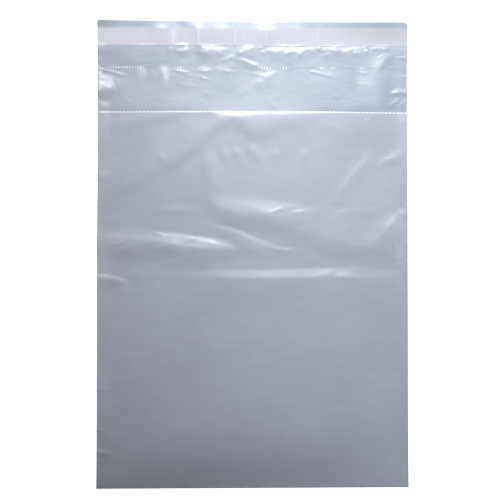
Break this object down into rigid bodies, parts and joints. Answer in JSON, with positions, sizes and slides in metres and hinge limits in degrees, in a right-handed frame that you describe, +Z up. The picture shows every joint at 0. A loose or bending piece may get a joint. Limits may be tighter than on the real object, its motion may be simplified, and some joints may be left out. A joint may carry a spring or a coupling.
{
  "type": "tamper-evident bag",
  "caption": "Flat silver-grey film bag, folded at the bottom and welded along the sides, with an open mouth and a long lip that carries adhesive under a peel-off liner.",
  "frame": {"origin": "on the ground under the middle of the bag, which lies on its back panel", "axes": "+X across the bag, +Y from the bottom fold towards the lip, +Z up through the front panel"},
  "size_m": [0.254, 0.381, 0.0089],
  "materials": {
    "film": "satin",
    "adhesive": "satin",
    "liner": "satin"
  },
  "bodies": {
    "root": {"bag_film": "film", "adhesive_strip": "adhesive", "release_liner": "liner"}
  },
  "joints": []
}
